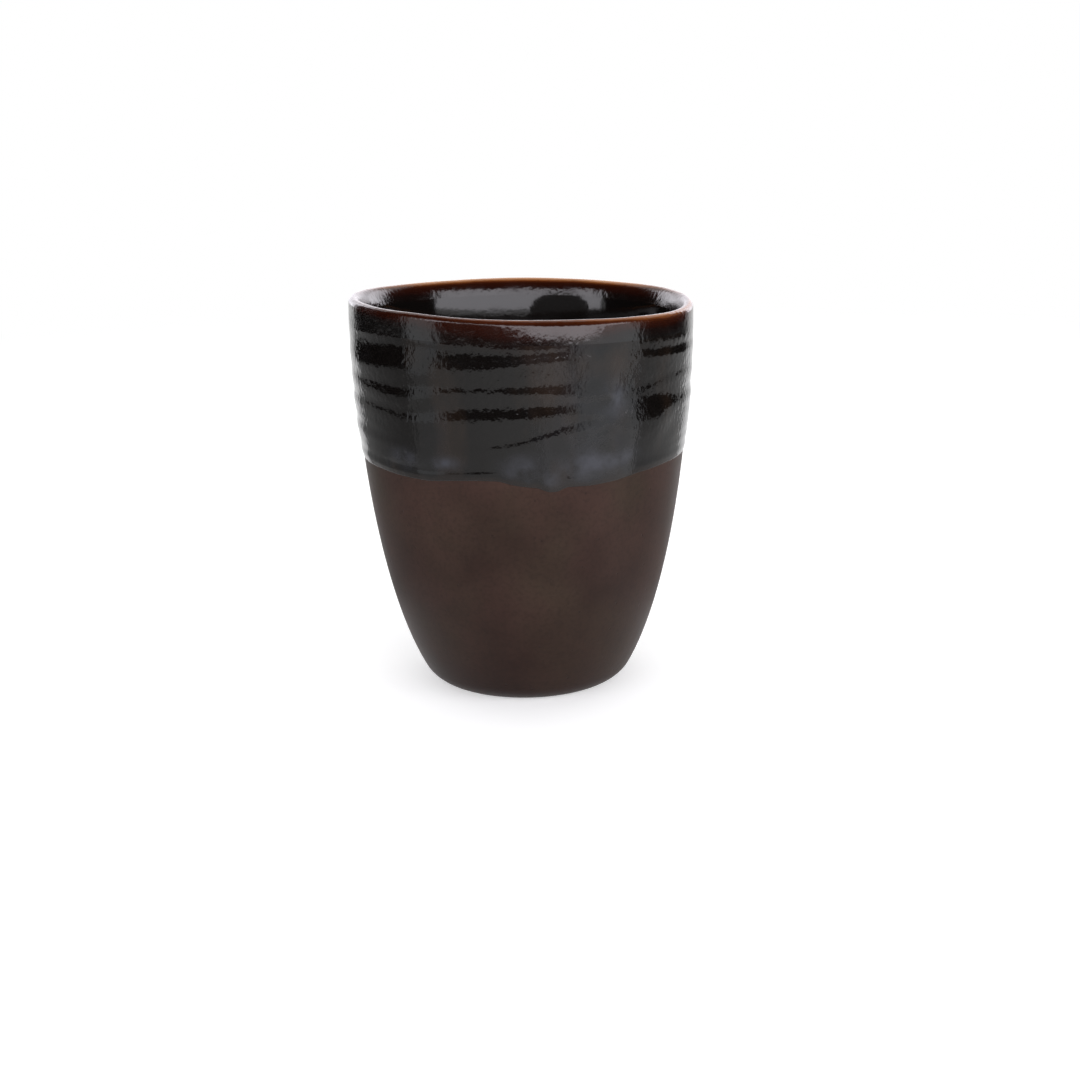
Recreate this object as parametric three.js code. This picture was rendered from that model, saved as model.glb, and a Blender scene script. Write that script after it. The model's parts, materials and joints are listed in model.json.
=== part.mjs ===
import * as THREE from 'three';

// A wheel-thrown stoneware coffee mug without a handle, in millimetres, standing on its foot at z = 0.
// Everything on it is turned about the upright axis, so the lines below are half sections of it:
// x is the distance from the axis and y is the height above the table.

// The clay body, whose wall keeps its thickness until a late taper flares the inside at the lip
const clayHeight = 94.25;
const rimRadius = 40.5;
const lipThickness = 3;
const lipHeight = 4;
const lowWallThickness = 5;
const wallTaperPower = 4;
const floorThickness = 6;
const floorRounding = 14;

// The line of the outside, from the rounded foot to the upright rim
const footRadius = 18.8;
const footRounding = 7.7;
const footSlopeDegrees = 61.5;
const bellyPull = 21;
const rimPull = 30;

// The turned foot ring and the shallow recess inside it
const footRingWidth = 4.8;
const recessDepth = 1.8;
const recessSlopeWidth = 1.4;

// The glaze coats and the throwing rings under them
const glazeThickness = 0.5;
const dipLineHeight = 57;
const collarDrop = 5;
const ringPitch = 5.6;
const ringDepth = 0.25;

// How finely the curves are stepped
const turnSteps = 48;
const footSteps = 4;
const bareWallSteps = 6;
const beadSteps = 3;
const pointsPerRing = 4;
const lipSteps = 8;
const insideSteps = 9;
const floorCornerSteps = 4;

// Heights and radii that follow from the sizes above
const lipBase = clayHeight - lipHeight;
const collarLine = clayHeight - collarDrop;
const beadTop = dipLineHeight + glazeThickness;
const ringCount = Math.floor((collarLine - beadTop) / ringPitch);
const lowestRing = collarLine - ringCount * ringPitch;
const floorTop = recessDepth + floorThickness;
const insideFoot = floorTop + floorRounding;
const recessRadius = footRadius - footRingWidth;

// The foot's rounding turns up from the table to the slope at which the wall leaves it
const footSlope = THREE.MathUtils.degToRad(footSlopeDegrees);
const downwards = -Math.PI / 2;
const footCurve = new THREE.EllipseCurve(
  footRadius,
  footRounding,
  footRounding,
  footRounding,
  downwards,
  downwards + footSlope,
);

// The outside of the wall swells from the foot's slope and ends upright under the lip
const footEnd = footCurve.getPoint(1);
const wallCurve = new THREE.CubicBezierCurve(
  footEnd,
  new THREE.Vector2(bellyPull * Math.cos(footSlope), bellyPull * Math.sin(footSlope)).add(footEnd),
  new THREE.Vector2(rimRadius, lipBase - rimPull),
  new THREE.Vector2(rimRadius, lipBase),
);

// The lip is half an ellipse that stands on the wall
const lipRadius = lipThickness / 2;
const lipCurve = new THREE.EllipseCurve(rimRadius - lipRadius, lipBase, lipRadius, lipHeight, 0, Math.PI);

// The wall only rises along its curve, so its radius at a height is found by halving
function wallRadius(height) {
  let low = 0;
  let high = 1;
  for (let halving = 0; halving < 40; halving += 1) {
    const middle = (low + high) / 2;
    if (wallCurve.getPoint(middle).y < height) {
      low = middle;
    } else {
      high = middle;
    }
  }
  return wallCurve.getPoint(low).x;
}

// The fingers leave soft grooves from the collar down to the lowest ring
function ringGroove(height) {
  const rings = THREE.MathUtils.clamp(collarLine - height, 0, collarLine - lowestRing) / ringPitch;
  return ringDepth * Math.sin(Math.PI * rings) ** 2;
}

function wallThickness(height) {
  const share = Math.max(THREE.MathUtils.inverseLerp(insideFoot, lipBase, height), 0);
  return THREE.MathUtils.lerp(lowWallThickness, lipThickness, share ** wallTaperPower);
}

function outsidePoint(height) {
  return new THREE.Vector2(wallRadius(height) - ringGroove(height), height);
}

function insidePoint(height) {
  return new THREE.Vector2(wallRadius(height) - wallThickness(height), height);
}

// Evenly spaced values after the first and up to the last
function steps(first, last, count) {
  const shares = Array.from({ length: count }, (empty, step) => (step + 1) / count);
  return shares.map((share) => THREE.MathUtils.lerp(first, last, share));
}

// Points of a curve after its first one
function stepsAlong(curve, count) {
  return curve.getPoints(count).slice(1);
}

// The clay's surface in stretches, from the middle of the underside round to the middle of the inside
const underside = [
  new THREE.Vector2(0, recessDepth),
  new THREE.Vector2(recessRadius - recessSlopeWidth, recessDepth),
  new THREE.Vector2(recessRadius, 0),
  new THREE.Vector2(footRadius, 0),
];
const foot = stepsAlong(footCurve, footSteps);
const bareWall = steps(footEnd.y, dipLineHeight, bareWallSteps).map(outsidePoint);
const beadAngles = steps(0, Math.PI / 2, beadSteps);
const beadHeights = beadAngles.map((angle) => beadTop - glazeThickness * Math.cos(angle));
const ringHeights = steps(lowestRing, collarLine, ringCount * pointsPerRing);
const ringedWall = [...beadHeights, lowestRing, ...ringHeights].map(outsidePoint);
const lip = [outsidePoint(lipBase), ...stepsAlong(lipCurve, lipSteps)];
const insideWall = steps(lipBase, insideFoot, insideSteps).map(insidePoint);
const floorMeetsWall = insidePoint(floorTop);
const floorEdge = new THREE.Vector2(floorMeetsWall.x - floorRounding, floorTop);
const floorCurve = new THREE.QuadraticBezierCurve(insideWall.at(-1), floorMeetsWall, floorEdge);
const floorCorner = stepsAlong(floorCurve, floorCornerSteps);
const insideMiddle = new THREE.Vector2(0, floorTop);
const claySurface = [
  ...underside,
  ...foot,
  ...bareWall,
  ...ringedWall,
  ...lip,
  ...insideWall,
  ...floorCorner,
  insideMiddle,
];

// Where each coat of glaze starts on the clay's surface
const dipStart = claySurface.indexOf(bareWall.at(-1));
const collarStart = claySurface.indexOf(ringedWall.at(-1));
const linerStart = claySurface.indexOf(lip.at(-1));
const linerEnd = claySurface.indexOf(insideMiddle);

// A point of the clay's surface moved straight out by a thickness of glaze
function glazed(index, thickness) {
  const before = claySurface[index - 1];
  const after = claySurface[Math.min(index + 1, linerEnd)];
  const outwards = new THREE.Vector2(after.y - before.y, before.x - after.x).normalize();
  return outwards.multiplyScalar(thickness).add(claySurface[index]);
}

// A coat over a stretch of the clay has a face along the stretch and goes back along the clay itself
function coat(first, last, thicknessAt) {
  const clay = claySurface.slice(first, last + 1);
  const face = clay.map((point, step) => glazed(first + step, thicknessAt(point.y)));
  return { clay: clay.reverse(), face };
}

function fullCoat() {
  return glazeThickness;
}

// The dipped coat starts from nothing at the dip line with a quarter-round edge
function beadedCoat(height) {
  const drop = THREE.MathUtils.clamp((beadTop - height) / glazeThickness, 0, 1);
  return glazeThickness * Math.sqrt(1 - drop ** 2);
}

function bandLine() {
  const { clay, face } = coat(dipStart, collarStart, beadedCoat);
  return [...face, ...clay];
}

function rimLine() {
  const { clay, face } = coat(collarStart, linerStart, fullCoat);
  return [...face, ...clay, face[0]];
}

function linerLine() {
  const { clay, face } = coat(linerStart, linerEnd, fullCoat);
  return [...clay, ...face];
}

// Fired stoneware is matt and the glazes are glossy, and nothing on the mug is metal
const finishes = {
  bareClay: { color: 0x3a2e2b, roughness: 0.6 },
  brownGlaze: { color: 0x2a100a, roughness: 0.15 },
  amberGlaze: { color: 0x4a2010, roughness: 0.15 },
  blackGlaze: { color: 0x262222, roughness: 0.2 },
};

function turned(name, line, finish) {
  const geometry = new THREE.LatheGeometry(line, turnSteps);
  const mesh = new THREE.Mesh(geometry, new THREE.MeshStandardMaterial({ ...finish, metalness: 0 }));
  mesh.name = name;
  return mesh;
}

// The half sections turn about y, and the mug stands along z
const mug = new THREE.Group();
mug.rotation.x = Math.PI / 2;
mug.add(turned('clay_body', claySurface, finishes.bareClay));
mug.add(turned('liner_glaze', linerLine(), finishes.brownGlaze));
mug.add(turned('rim_glaze', rimLine(), finishes.amberGlaze));
mug.add(turned('band_glaze', bandLine(), finishes.blackGlaze));

export default mug;
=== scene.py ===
# %% [markdown]
# # A thrown stoneware mug
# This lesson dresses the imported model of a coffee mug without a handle. A potter threw it on a wheel,
# turned its foot, poured a brown glaze inside, dipped its upper half in a black glaze and left the
# lower half bare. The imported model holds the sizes, and the script makes finer pieces in its place.

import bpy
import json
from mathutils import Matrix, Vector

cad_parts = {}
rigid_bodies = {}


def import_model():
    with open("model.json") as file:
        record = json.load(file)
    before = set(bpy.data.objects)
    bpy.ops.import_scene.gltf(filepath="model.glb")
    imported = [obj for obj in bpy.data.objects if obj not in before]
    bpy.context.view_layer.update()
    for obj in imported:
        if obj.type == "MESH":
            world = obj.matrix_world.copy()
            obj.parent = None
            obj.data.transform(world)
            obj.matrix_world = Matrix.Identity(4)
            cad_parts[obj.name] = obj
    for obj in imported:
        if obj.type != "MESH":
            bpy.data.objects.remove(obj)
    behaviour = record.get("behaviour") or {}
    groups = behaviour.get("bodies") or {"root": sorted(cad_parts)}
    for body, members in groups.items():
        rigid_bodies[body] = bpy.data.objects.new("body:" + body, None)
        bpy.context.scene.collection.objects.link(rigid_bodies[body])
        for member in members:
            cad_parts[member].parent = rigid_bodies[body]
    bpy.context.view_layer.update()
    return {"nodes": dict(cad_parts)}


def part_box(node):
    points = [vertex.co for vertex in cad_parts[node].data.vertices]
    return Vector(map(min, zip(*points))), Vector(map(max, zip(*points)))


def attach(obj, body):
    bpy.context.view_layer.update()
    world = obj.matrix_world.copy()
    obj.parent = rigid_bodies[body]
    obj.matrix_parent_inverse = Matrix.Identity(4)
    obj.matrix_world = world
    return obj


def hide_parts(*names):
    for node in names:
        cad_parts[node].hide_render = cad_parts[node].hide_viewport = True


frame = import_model()
print("packed nodes:", sorted(frame["nodes"]))

# %% [markdown]
# ## Sizes
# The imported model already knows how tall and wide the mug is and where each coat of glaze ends, so
# those sizes are read from the boxes of its nodes. The few sizes that no box shows, such as the
# rounding of the foot, are written again in metres where they are first needed.

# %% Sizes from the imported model
import json
import math

import bmesh
import bpy
import numpy as np
from mathutils import Matrix, Vector
from mathutils.geometry import interpolate_bezier

MM = 0.001
CLAY_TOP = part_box("clay_body")[1].z
RIM_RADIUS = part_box("rim_glaze")[1].x
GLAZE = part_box("rim_glaze")[1].z - CLAY_TOP
DIP_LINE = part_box("band_glaze")[0].z
COLLAR_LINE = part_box("band_glaze")[1].z
LINER_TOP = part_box("liner_glaze")[1].z
FLOOR_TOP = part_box("liner_glaze")[0].z
print(f"rim {2 * RIM_RADIUS / MM:.1f} mm wide, clay {CLAY_TOP / MM:.2f} mm high, glaze {GLAZE / MM:.2f} mm")

# %% [markdown]
# ## The half section
# A thrown pot is a half section turned about the upright axis. The line could be drawn point by
# point, but a potter's line has only a few soft bends, so each stretch is one Bezier curve or arc
# and the points are stepped along it. Steps are fine where the light will show the shape. The wall
# is set in a little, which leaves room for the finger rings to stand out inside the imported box.

# %% The outside of the wall
FOOT_RADIUS = 18.8 * MM
FOOT_ROUNDING = 7.7 * MM
FOOT_SLOPE = math.radians(61.5)
FOOT_POINTS = 14
BELLY_PULL = 21 * MM
RIM_PULL = 30 * MM
LIP_HEIGHT = 4 * MM
RING_ROOM = 0.22 * MM
WALL_POINTS = 300
UP = Vector((0, 0, 1))


def at(radius, height):
    return Vector((radius, 0, height))


def leaning(angle):
    return at(math.cos(angle), math.sin(angle))


foot_middle = at(FOOT_RADIUS, FOOT_ROUNDING)
foot_angles = np.linspace(-math.pi / 2, FOOT_SLOPE - math.pi / 2, FOOT_POINTS)
foot_arc = [foot_middle + FOOT_ROUNDING * leaning(angle) for angle in foot_angles]
foot_end = foot_arc[-1]
wall_top = at(RIM_RADIUS - GLAZE - RING_ROOM, CLAY_TOP - LIP_HEIGHT)
wall_line = interpolate_bezier(
    foot_end,
    foot_end + BELLY_PULL * leaning(FOOT_SLOPE),
    wall_top - RIM_PULL * UP,
    wall_top,
    WALL_POINTS,
)
wall_line_heights = [point.z for point in wall_line]
wall_line_radii = [point.x for point in wall_line]


def outside_radius(height):
    return np.interp(height, wall_line_heights, wall_line_radii)


print(f"the wall is {outside_radius(DIP_LINE) / MM:.2f} mm from the axis at the dip line")

# %% [markdown]
# ## The lip
# A potter presses the lip with a strip of wet leather, which leaves a tight round outside and a soft
# flare inside. A half circle would be quicker, but it lacks the thin bright line that a tight round
# shows. So a quarter round rises to the crest, and one long Bezier curve falls from it into the wall.

# %% The lip and the inside
# A Bezier curve whose handles reach QUARTER_ROUND of the way to the corner is nearly a quarter circle.
LIP_THICKNESS = 3 * MM
WALL_THICKNESS = 5 * MM
TAPER_POWER = 4
FLOOR_ROUNDING = 14 * MM
LIP_SHOULDER = 0.8 * MM
CREST_INSET = 0.65 * MM
CREST_PULL = 1.8 * MM
QUARTER_ROUND = 0.5523
OUTER_LIP_POINTS = 16
INNER_LIP_BASE = 80 * MM
INNER_LIP_PULL = 9 * MM
INNER_LIP_POINTS = 60

inside_foot = FLOOR_TOP + FLOOR_ROUNDING


def inside_radius(height):
    share = np.clip((height - inside_foot) / (wall_top.z - inside_foot), 0, 1)
    thickness = WALL_THICKNESS + (LIP_THICKNESS - WALL_THICKNESS) * share**TAPER_POWER
    return outside_radius(height) - thickness


crest = at(wall_top.x - CREST_INSET, CLAY_TOP)
shoulder = at(wall_top.x, CLAY_TOP - LIP_SHOULDER)
outer_lip = interpolate_bezier(
    shoulder,
    shoulder + QUARTER_ROUND * LIP_SHOULDER * UP,
    crest + at(QUARTER_ROUND * CREST_INSET, 0),
    crest,
    OUTER_LIP_POINTS,
)
inner_lip_end = at(inside_radius(INNER_LIP_BASE), INNER_LIP_BASE)
flare = (inside_radius(INNER_LIP_BASE + MM) - inside_radius(INNER_LIP_BASE)) / MM
inner_lip = interpolate_bezier(
    crest,
    crest - at(CREST_PULL, 0),
    inner_lip_end + INNER_LIP_PULL * at(flare, 1),
    inner_lip_end,
    INNER_LIP_POINTS,
)
print(f"the lip's crest is {crest.x / MM:.2f} mm from the axis")

# %% [markdown]
# ## Stretches of the clay's surface
# The coats of glaze lie on parts of the clay, so the clay's line is made in stretches that the coats
# can share. One long line could be cut up later, but then each coat's ends would need searching for.

# %% Stretches of the outside
UNDERSIDE_RECESS = 1.8 * MM
RECESS_RADIUS = 14 * MM
RECESS_SLOPE = 1.4 * MM
RECESS_STEP = 0.45 * MM
BARE_STEP = 1.2 * MM
RINGED_STEP = 0.35 * MM
COLLAR_STEP = 0.3 * MM


def steps(first, last, spacing):
    return np.linspace(first, last, round(abs(last - first) / spacing) + 1)


def along_wall(radius_at, first, last, spacing):
    return [at(radius_at(height), height) for height in steps(first, last, spacing)]


recess_edge = RECESS_RADIUS - RECESS_SLOPE
recess = [at(radius, UNDERSIDE_RECESS) for radius in steps(0, recess_edge, RECESS_STEP)]
underside = [*recess, at(RECESS_RADIUS, 0)]
bare_wall = along_wall(outside_radius, foot_end.z, DIP_LINE, BARE_STEP)
ringed_wall = along_wall(outside_radius, DIP_LINE, COLLAR_LINE, RINGED_STEP)
collar = along_wall(outside_radius, COLLAR_LINE, shoulder.z, COLLAR_STEP)
rim = [*collar, *outer_lip[1:], *(point for point in inner_lip[1:] if point.z > LINER_TOP)]
print(len(ringed_wall), "points on the dipped wall and", len(rim), "on the rim")

# %% Stretches of the inside
# Handles two thirds of the way to the corner round the edge of the floor in one even bend.
INSIDE_STEP = 1 * MM
FLOOR_STEP = 0.8 * MM
CORNER_POINTS = 24
CORNER_PULL = 2 / 3

throat = [point for point in inner_lip if point.z < LINER_TOP]
inside_wall = along_wall(inside_radius, INNER_LIP_BASE, inside_foot, INSIDE_STEP)
corner = at(inside_radius(FLOOR_TOP), FLOOR_TOP)
floor_edge = corner - at(FLOOR_ROUNDING, 0)
floor_corner = interpolate_bezier(
    inside_wall[-1],
    inside_wall[-1].lerp(corner, CORNER_PULL),
    floor_edge.lerp(corner, CORNER_PULL),
    floor_edge,
    CORNER_POINTS,
)
floor_line = [at(radius, FLOOR_TOP) for radius in steps(floor_edge.x, 0, FLOOR_STEP)]
liner = [rim[-1], *throat, *inside_wall[1:], *floor_corner[1:], *floor_line[1:]]
clay = [*underside, *foot_arc, *bare_wall[1:], *ringed_wall[1:], *rim[1:], *liner[1:]]
print(len(clay), "points go round the clay's half section")

# %% [markdown]
# ## From half section to solid
# Blender's Screw modifier or a lathe of faces could turn the line. The bmesh spin does it in one
# step and leaves a mesh that can be shaped further. Where a line starts or ends on the axis the spin
# leaves a fan of points in one place, so doubles are merged before the normals are set.

# %% Turn a line about the axis
FULL_TURN = 2 * math.pi
TURN_STEPS = 240
MERGE_DISTANCE = 0.001 * MM
SHARP_ANGLE = math.radians(35)


def turned(points, turn=FULL_TURN, step_count=TURN_STEPS):
    work = bmesh.new()
    corners = [work.verts.new(point) for point in points]
    edges = [work.edges.new(pair) for pair in zip(corners, corners[1:])]
    bmesh.ops.spin(
        work,
        geom=corners + edges,
        cent=(0, 0, 0),
        axis=UP,
        angle=turn,
        steps=step_count,
        use_merge=math.isclose(turn, FULL_TURN),
    )
    bmesh.ops.remove_doubles(work, verts=work.verts, dist=MERGE_DISTANCE)
    return work


def finished(work, name):
    bmesh.ops.recalc_face_normals(work, faces=work.faces)
    mesh = bpy.data.meshes.new(name)
    work.to_mesh(mesh)
    work.free()
    piece = bpy.data.objects.new(name, mesh)
    bpy.context.scene.collection.objects.link(piece)
    mesh.shade_smooth()
    mesh.set_sharp_from_angle(angle=SHARP_ANGLE)
    return piece


print("a full turn is made in", TURN_STEPS, "steps")

# %% [markdown]
# ## The clay body
# The body is one lump of fired clay. The foot ring is turned with a loop tool, which leaves crisp
# edges that a sponge then softens. A Bevel modifier could do this, but only the crisp edges should
# change, so they are picked by the angle between their faces and bevelled right after the spin.

# %% Clay body
CRISP_ANGLE = math.radians(25)
SPONGED_EDGE = 0.4 * MM
SPONGED_SEGMENTS = 3


def round_edges(work, edges, size, segments):
    bmesh.ops.bevel(
        work,
        geom=edges,
        offset=size,
        affect="EDGES",
        segments=segments,
        profile=0.5,
        material=-1,
    )


clay_work = turned(clay)
manifold = [edge for edge in clay_work.edges if edge.is_manifold]
crisp = [edge for edge in manifold if edge.calc_face_angle() > CRISP_ANGLE]
round_edges(clay_work, crisp, SPONGED_EDGE, SPONGED_SEGMENTS)
clay_body = finished(clay_work, "fine_clay_body")
print("clay body:", len(clay_body.data.polygons), "faces,", len(crisp), "edges sponged")

# %% [markdown]
# ## The coats of glaze
# Each coat is a thin shell that lies on the clay. A stretch of the clay's line is turned into an open
# skin, and solidify gives it the thickness of the glaze. The dipped coat ends in a rolled edge where
# the melted glaze stopped running, which is a bevel along its lowest outer edge.

# %% Coats of glaze
EDGE_SLACK = 0.1 * MM
ROLLED_EDGE = 0.9 * GLAZE
ROLLED_SEGMENTS = 5


def coat(points):
    work = turned(points)
    bmesh.ops.solidify(work, geom=work.faces[:], thickness=GLAZE)
    return work


band_work = coat(ringed_wall)
edge_top = DIP_LINE + EDGE_SLACK
edge_inside = outside_radius(DIP_LINE) + GLAZE / 2
rolled = [
    edge
    for edge in band_work.edges
    if all(end.co.z < edge_top and end.co.xy.length > edge_inside for end in edge.verts)
]
round_edges(band_work, rolled, ROLLED_EDGE, ROLLED_SEGMENTS)
band_glaze = finished(band_work, "fine_band_glaze")
rim_glaze = finished(coat(rim), "fine_rim_glaze")
liner_glaze = finished(coat(liner), "fine_liner_glaze")
for piece in (band_glaze, rim_glaze, liner_glaze):
    print(piece.name, len(piece.data.polygons), "faces")

# %% [markdown]
# ## Marks of the hand
# A turned mesh is too perfect. The potter's fingers left soft rings on the wall, the rim was cut a
# little out of level, and the dipped glaze ran to an uneven edge. Sculpting could add these, but a
# rule in terms of the angle round the mug and the height moves the clay and its coats together, so
# that they stay on each other. The front of the mug is at angle 0 and its right side at 90 degrees.

# %% Angle, radius and height of a piece's points
def read_points(piece):
    flat = np.empty(3 * len(piece.data.vertices))
    piece.data.vertices.foreach_get("co", flat)
    x, y, height = flat.reshape(-1, 3).T
    return np.degrees(np.arctan2(x, -y)), np.hypot(x, y), height


def write_points(piece, angle, radius, height):
    turn = np.radians(angle)
    places = np.column_stack([radius * np.sin(turn), -radius * np.cos(turn), height])
    piece.data.vertices.foreach_set("co", places.ravel())
    piece.data.update()


pieces = (clay_body, band_glaze, rim_glaze, liner_glaze)
print("points to move:", sum(len(piece.data.vertices) for piece in pieces))

# %% [markdown]
# ## Values drawn round the mug
# What the hand did changes slowly round the mug, so it is written as a short table of angles and
# values, as a potter would sketch it. Straight lines between the places would leave kinks, so the
# drawn line is softened over a few degrees before it is read.

# %% Read a table round the mug
CIRCLE_STEP = 0.5
SOFTENING = 6


def ease(value, start, end):
    share = np.clip((value - start) / (end - start), 0, 1)
    return share * share * (3 - 2 * share)


def round_the_mug(angles, values, angle, softening=SOFTENING):
    circle = np.arange(-180, 180, CIRCLE_STEP)
    drawn = np.interp(circle, angles, values, period=360)
    reach = round(softening / CIRCLE_STEP)
    weights = np.hanning(2 * reach + 1)
    padded = np.pad(drawn, reach, mode="wrap")
    soft = np.convolve(padded, weights / weights.sum(), mode="valid")
    return np.interp(angle, circle, soft, period=360)


def from_table(table, angle, softening=SOFTENING):
    angles, values = np.array(table).T
    return round_the_mug(angles, values, angle, softening)


all_round = np.arange(-180, 180)
print("a line from 0 at the front to 1 at the back, read at 90:", from_table([(0, 0), (180, 1)], 90))

# %% [markdown]
# ## The finger rings
# Each ring is a wave that the fingers pressed into the wall, with a slope that looks up and one that
# looks down. A bump in the material could fake them, but the slopes bend the reflections of the dark
# cards into long dashes, so they are real shape. The rings wander, grow and fade round the mug.

# %% Finger rings
# Each place has its angle, the height in millimetres of the slope that looks up, how tall the ring is
# there in millimetres, and how steep that slope is.
RINGS = [
    [(-150, 85.0, 2.2, 0.13), (-104, 84.2, 2.6, 0.12), (-78, 83.9, 2.4, 0.05), (-64, 83.6, 3.8, 0.15),
     (-40, 84.7, 4.0, 0.15), (-27, 85.0, 2.6, 0.14), (-11, 85.3, 2.4, 0.13), (1, 86.0, 1.5, 0.13),
     (15, 86.6, 1.6, 0.14), (26, 86.2, 1.2, 0.10), (41, 85.6, 1.6, 0.13), (65, 84.6, 1.5, 0.13),
     (80, 84.8, 1.6, 0.07), (110, 85.2, 2.4, 0.13)],
    [(-160, 78.6, 2.0, 0.15), (-110, 78.0, 1.6, 0.14), (-80, 77.8, 1.7, 0.07), (-66, 77.6, 2.0, 0.15),
     (-42, 76.8, 2.7, 0.19), (-26, 78.4, 1.2, 0.10), (-10, 78.8, 1.2, 0.09), (2, 78.9, 1.7, 0.14),
     (14, 78.8, 2.2, 0.18), (26, 78.6, 1.2, 0.10), (40, 77.0, 1.6, 0.13), (52, 78.1, 1.7, 0.14),
     (62, 79.0, 1.4, 0.10), (82, 78.8, 1.6, 0.06), (120, 78.2, 2.1, 0.14)],
    [(-170, 73.0, 2.4, 0.16), (-120, 72.2, 1.8, 0.15), (-56, 72.4, 1.7, 0.16), (-40, 71.2, 1.8, 0.17),
     (-30, 72.0, 1.8, 0.12), (-20, 72.9, 2.8, 0.15), (3, 73.7, 2.6, 0.16), (15, 74.6, 2.0, 0.17),
     (27, 73.6, 1.2, 0.10), (34, 72.6, 6.2, 0.26), (50, 72.6, 6.0, 0.27), (62, 72.6, 2.6, 0.17),
     (115, 72.6, 1.8, 0.15)],
    [(-150, 67.8, 2.0, 0.15), (-80, 66.0, 1.7, 0.15), (-58, 65.4, 1.5, 0.14), (-44, 64.8, 1.2, 0.06),
     (-25, 65.2, 1.2, 0.0), (-9, 65.5, 1.2, 0.13), (3, 67.2, 1.5, 0.16), (10, 69.0, 1.8, 0.17),
     (19, 70.3, 1.5, 0.15), (30, 70.6, 1.2, 0.0), (60, 69.0, 1.2, 0.05), (130, 68.2, 2.2, 0.15)],
    [(-140, 62.6, 1.8, 0.14), (-66, 59.4, 1.0, 0.08), (-52, 58.6, 1.0, 0.16), (-36, 58.5, 1.1, 0.18),
     (-22, 59.0, 1.1, 0.185), (-11, 59.7, 1.0, 0.18), (-4, 60.0, 1.0, 0.0), (50, 61.0, 1.0, 0.0),
     (75, 62.4, 1.0, 0.08), (140, 62.9, 1.9, 0.14)],
]
RING_FADE = (87.6 * MM, 89.2 * MM)


def ring_relief(angle, height):
    relief = np.zeros_like(height)
    for ring in RINGS:
        angles, heights, sizes, slopes = np.array(ring).T
        size = round_the_mug(angles, sizes * MM, angle)
        slope = round_the_mug(angles, slopes, angle)
        above = height - round_the_mug(angles, heights * MM, angle)
        relief -= slope * above * np.exp(-((above / size) ** 2))
    return relief * (1 - ease(height, *RING_FADE))


ring_places = [place for ring in RINGS for place in ring]
print(len(RINGS), "finger rings with slopes up to", max(slope for *_, slope in ring_places))

# %% [markdown]
# ## The rim out of level
# The rim was cut by hand: it sinks from left to right, dips a little here and there, and the collar
# under it leans in at the front. A lattice could bend the top of the mug, but two small tables say
# plainly where the rim is low and where it leans.

# %% Rim drop and lip lean
# The middle of the rim lies TILT_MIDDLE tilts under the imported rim, so that the high side fits too.
# The tables hold angles in degrees and drops or leans in millimetres.
RIM_TILT = 0.6 * MM
RIM_HIGH_SIDE = -90
TILT_MIDDLE = 1.6
TILT_START = 55 * MM
WARP_START = 84 * MM
LEAN_START = 87 * MM
RIM_WARP = [
    (-180, 0.55), (-152, 0.75), (-130, 0.6), (-110, 0.1), (-92, -0.3), (-64, -0.4), (-37, -0.4),
    (-18, 0.05), (0, 0.3), (21, 0.55), (41, 0.8), (61, 1.2), (75, 1.15), (90, 0.75), (119, 0.5),
    (140, 0.65), (165, 0.6),
]
LIP_LEAN = [
    (-110, 0.0), (-76, 0.2), (-60, 0.2), (-54, -0.1), (-42, -0.1), (-34, 0.1), (-14, 0.15),
    (-2, 0.55), (8, 1.05), (21, 1.1), (31, 0.4), (56, 0.25), (80, 0.1), (110, 0.0),
]


def rim_drop(angle, height):
    level = TILT_MIDDLE - np.cos(np.radians(angle - RIM_HIGH_SIDE))
    tilt = RIM_TILT * level * ease(height, TILT_START, CLAY_TOP)
    warp = from_table(RIM_WARP, angle) * MM
    return tilt + warp * ease(height, WARP_START, CLAY_TOP)


def lip_lean(angle, height):
    rise = np.clip((height - LEAN_START) / (CLAY_TOP - LEAN_START), 0, None)
    return from_table(LIP_LEAN, angle) * MM * rise**2


drops = rim_drop(all_round, CLAY_TOP) / MM
print(f"the rim lies {drops.min():.2f} to {drops.max():.2f} mm under its packed height")

# %% [markdown]
# ## The edge of the dip
# Where the mug was dipped, the melted glaze crept down to a wavy edge with a few drips, and it gathered
# there in a bead. The edge could be cut out of a mask, but then it would have no thickness. So the
# lowest part of the coat is slid up or down the wall, and the bead swells it outwards.

# %% Run and bead of the dip
# The tables hold angles in degrees, and heights of the edge or depths of the bead in millimetres.
DIP_SOFTENING = 1.5
DIP_REACH = 12 * MM
DIP_EDGE = [
    (-175, 57.6), (-150, 57.9), (-136, 57.2), (-128, 55.6), (-121, 56.9), (-100, 57.0), (-58, 57.1),
    (-46, 56.8), (-33, 56.7), (-24, 57.3), (-15, 57.7), (-8, 57.7), (-4, 56.9), (0, 56.4), (5, 56.0),
    (8.5, 54.9), (11.5, 54.9), (14.5, 55.9), (23, 55.7), (33, 56.1), (42, 56.9), (58, 57.3),
    (90, 57.2), (107, 56.6), (112, 55.7), (118, 56.7), (150, 58.0),
]
BEAD_SOFTENING = 3
BEAD_START = -0.1 * MM
BEAD_HEIGHT = 1.4 * MM
BEAD_SIZE = 1.1 * MM
BEAD = [
    (-150, 0.14), (-128, 0.32), (-110, 0.14), (-60, 0.10), (-8, 0.10), (0, 0.22), (10, 0.27),
    (17, 0.16), (30, 0.10), (95, 0.12), (112, 0.30), (125, 0.12),
]


def dip_run(angle, height):
    run = from_table(DIP_EDGE, angle, DIP_SOFTENING) * MM - DIP_LINE
    return run * (1 - ease(height, DIP_LINE, DIP_LINE + DIP_REACH))


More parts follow.
